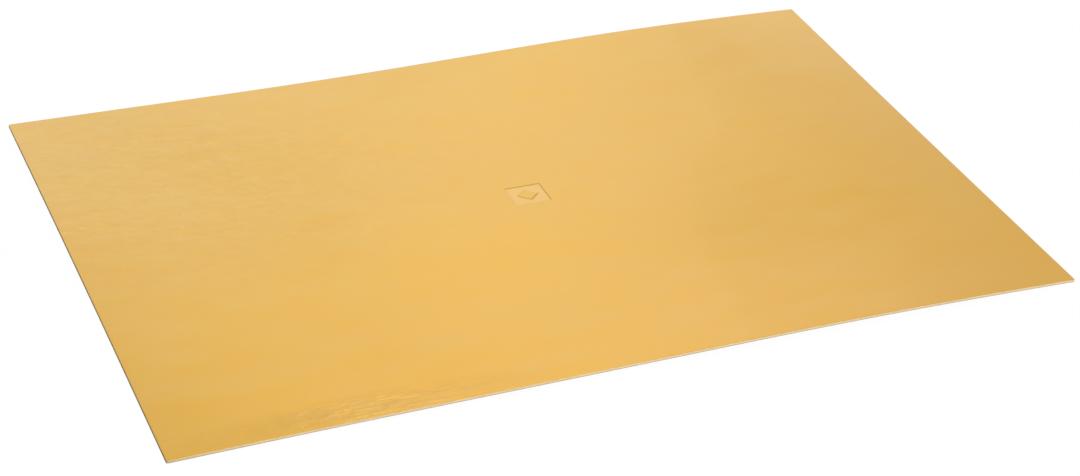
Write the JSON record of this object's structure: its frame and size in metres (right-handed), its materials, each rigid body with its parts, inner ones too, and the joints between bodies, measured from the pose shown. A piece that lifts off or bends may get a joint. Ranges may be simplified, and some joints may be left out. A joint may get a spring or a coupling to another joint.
{
  "type": "cake board",
  "caption": "Thin flat rectangular board of gold-faced solid card that carries a cake or pastries in a box or on a table.",
  "frame": {"origin": "under the middle of the board, on the surface that it lies on", "axes": "+X along the long side, +Y along the short side towards the back, +Z out of the gold face"},
  "size_m": [0.4, 0.3, 0.0065],
  "materials": {
    "gold_faced_card": "satin"
  },
  "bodies": {
    "root": {"cake_board": "gold_faced_card"}
  },
  "joints": []
}
